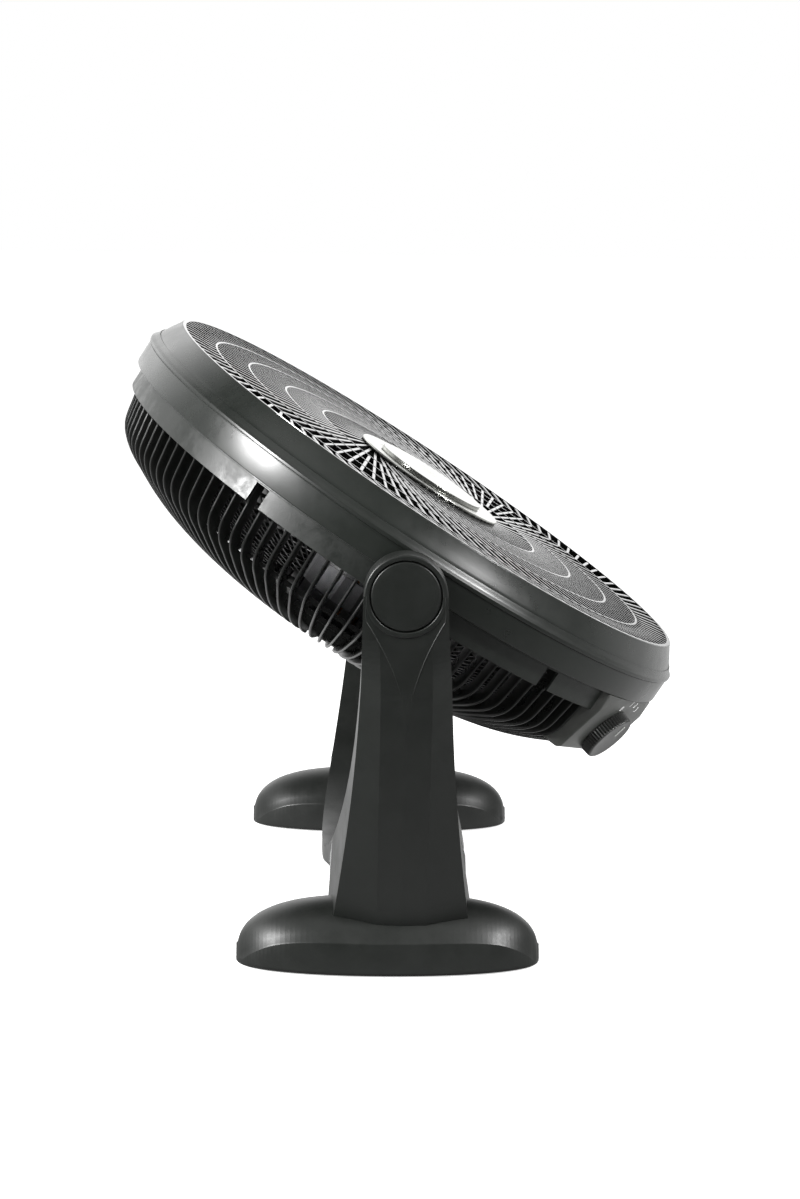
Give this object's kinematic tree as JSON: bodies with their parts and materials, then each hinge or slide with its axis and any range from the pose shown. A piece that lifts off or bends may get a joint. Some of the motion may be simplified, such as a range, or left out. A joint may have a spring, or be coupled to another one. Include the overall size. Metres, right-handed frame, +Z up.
{
  "type": "air circulator fan",
  "caption": "Floor air circulator: a round caged fan head with a spiral front grille, tilting in a U-shaped yoke on two long feet.",
  "frame": {"origin": "on the floor, under the middle of the whole fan", "axes": "+X the way the fan blows when its head is level, +Y across from arm to arm, +Z up"},
  "size_m": [0.5052, 0.6284, 0.5341],
  "materials": {
    "satin_black": "satin moulded plastic",
    "grille_black": "semi-gloss moulded plastic",
    "silver_cap": "silver coloured satin plastic",
    "blade_black": "satin moulded plastic",
    "knob_grey": "satin moulded plastic",
    "pad_rubber": "matte rubber",
    "zinc_steel": "zinc plated steel",
    "motor_shell": "cast aluminium",
    "core_steel": "stacked steel sheet",
    "copper_winding": "varnished copper wire",
    "switch_plastic": "moulded plastic",
    "capacitor_plastic": "moulded plastic"
  },
  "bodies": {
    "base": {"yoke": "satin_black", "foot_near": "satin_black", "foot_far": "satin_black", "foot_pad_near_front": "pad_rubber", "foot_pad_near_rear": "pad_rubber", "foot_pad_far_front": "pad_rubber", "foot_pad_far_rear": "pad_rubber", "pivot_cap_near": "satin_black", "pivot_cap_far": "satin_black", "friction_washer_near": "zinc_steel", "friction_washer_far": "zinc_steel"},
    "head": {"drum_ring": "satin_black", "pivot_bolt_near": "zinc_steel", "pivot_bolt_far": "zinc_steel", "pivot_nut_near": "zinc_steel", "pivot_nut_far": "zinc_steel", "front_grille": "grille_black", "centre_cap": "silver_cap", "centre_disc": "silver_cap", "control_housing": "satin_black", "rotary_switch": "switch_plastic", "rear_grille": "grille_black", "rear_hub_cover": "satin_black", "motor_shell_rear": "motor_shell", "motor_shell_front": "motor_shell", "stator_core": "core_steel", "winding_rear": "copper_winding", "winding_front": "copper_winding", "bearing_rear": "zinc_steel", "bearing_front": "zinc_steel", "motor_screw_1": "zinc_steel", "motor_screw_2": "zinc_steel", "motor_screw_3": "zinc_steel", "motor_screw_4": "zinc_steel", "capacitor": "capacitor_plastic"},
    "rotor": {"rotor_shaft": "zinc_steel", "rotor_core": "core_steel", "blade": "blade_black", "blade_nut": "blade_black"},
    "knob": {"knob": "satin_black", "knob_face": "knob_grey"}
  },
  "joints": [
    {"name": "head_tilt", "type": "hinge", "parent": "base", "child": "head", "pos_m": [-0.00546, 0, 0.344], "axis": [0, 1, 0], "range_deg": [-32.5, 72.5]},
    {"name": "blade_spin", "type": "hinge", "parent": "head", "child": "rotor", "pos_m": [-0.00546, 0, 0.344], "axis": [0.5373, 0, 0.8434], "continuous": true},
    {"name": "knob_turn", "type": "hinge", "parent": "head", "child": "knob", "pos_m": [0.17584, -0.13625, 0.18937], "axis": [0.5908, -0.4872, -0.6431], "range_deg": [-120, 0]}
  ]
}
